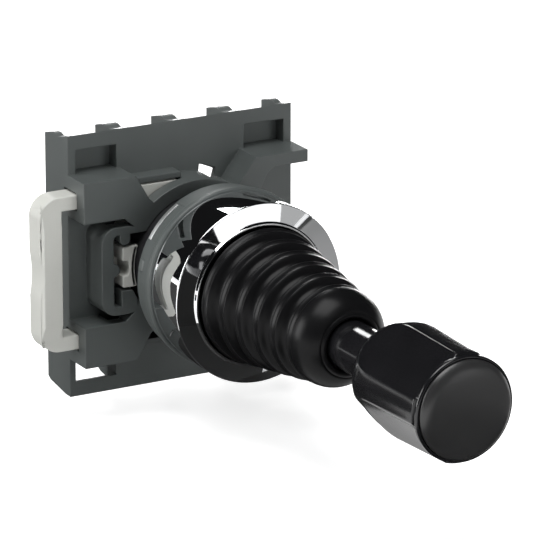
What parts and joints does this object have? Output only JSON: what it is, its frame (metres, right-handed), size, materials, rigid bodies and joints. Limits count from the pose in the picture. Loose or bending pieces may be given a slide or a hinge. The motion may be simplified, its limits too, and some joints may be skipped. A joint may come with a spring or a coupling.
{
  "type": "panel joystick",
  "caption": "Panel-mount joystick head with chrome bezel, black rubber bellows, fluted knob and a grey rear latch with a sliding lock.",
  "frame": {"origin": "on the stick's axis, at the seal's rear face, where the front of the panel lies", "axes": "-Y along the stick towards the knob, +Z the operator's up, +X the operator's right"},
  "size_m": [0.0476, 0.1, 0.0442],
  "materials": {
    "chrome": "polished chrome plate",
    "bright_steel": "bright zinc plate",
    "black_rubber": "satin moulded rubber",
    "black_moulding": "moulded black plastic",
    "black_gloss": "polished black plastic",
    "black_satin": "satin black plastic",
    "red_moulding": "moulded red plastic",
    "mid_grey_moulding": "moulded grey plastic",
    "dark_grey_moulding": "fine satin moulded plastic, dark grey",
    "light_grey_moulding": "fine satin moulded plastic, light grey"
  },
  "bodies": {
    "head": {"bezel": "chrome", "collar": "dark_grey_moulding", "seat_washer": "bright_steel", "panel_seal": "black_rubber", "barrel": "black_moulding", "bellows": "black_rubber", "bearing_retainer": "black_moulding", "ring_pins": "bright_steel", "return_spring": "bright_steel", "plunger_guide": "mid_grey_moulding", "retaining_ring": "bright_steel", "latch_body": "dark_grey_moulding"},
    "gimbal": {"gimbal_ring": "bright_steel"},
    "stick": {"pivot_hub": "black_moulding", "hub_pin": "bright_steel", "spindle": "bright_steel", "swash_plate": "bright_steel", "stick_sleeve": "black_gloss", "knob": "black_gloss", "knob_cap": "black_satin", "knob_screw": "bright_steel", "knob_washer": "bright_steel"},
    "up_plunger": {"plunger_up": "red_moulding"},
    "down_plunger": {"plunger_down": "red_moulding"},
    "left_plunger": {"plunger_left": "red_moulding"},
    "right_plunger": {"plunger_right": "red_moulding"},
    "lock": {"locking_slide": "light_grey_moulding"}
  },
  "joints": [
    {"name": "tilt_up_down", "type": "hinge", "parent": "head", "child": "gimbal", "pos_m": [0, 0.0023, 0], "axis": [1, 0, 0], "range_deg": [-12, 12], "stiffness_Nm_per_rad": 0.25, "deforming": ["bellows", "return_spring"]},
    {"name": "tilt_left_right", "type": "hinge", "parent": "gimbal", "child": "stick", "pos_m": [0, 0.0023, 0], "axis": [0, 0, 1], "range_deg": [-12, 12], "stiffness_Nm_per_rad": 0.25},
    {"name": "plunger_up_slide", "type": "slide", "parent": "head", "child": "up_plunger", "axis": [0, 1, 0], "range_m": [-0.0013, 0.0013]},
    {"name": "plunger_down_slide", "type": "slide", "parent": "head", "child": "down_plunger", "axis": [0, 1, 0], "range_m": [-0.0013, 0.0013]},
    {"name": "plunger_left_slide", "type": "slide", "parent": "head", "child": "left_plunger", "axis": [0, 1, 0], "range_m": [-0.0013, 0.0013]},
    {"name": "plunger_right_slide", "type": "slide", "parent": "head", "child": "right_plunger", "axis": [0, 1, 0], "range_m": [-0.0013, 0.0013]},
    {"name": "lock_slide", "type": "slide", "parent": "head", "child": "lock", "axis": [-1, 0, 0], "range_m": [0, 0.0016]}
  ],
  "couplings": [
    {"joint": "plunger_up_slide", "follows": "tilt_up_down", "m_per_rad": -0.0056},
    {"joint": "plunger_down_slide", "follows": "tilt_up_down", "m_per_rad": 0.0056},
    {"joint": "plunger_left_slide", "follows": "tilt_left_right", "m_per_rad": -0.0056},
    {"joint": "plunger_right_slide", "follows": "tilt_left_right", "m_per_rad": 0.0056}
  ]
}
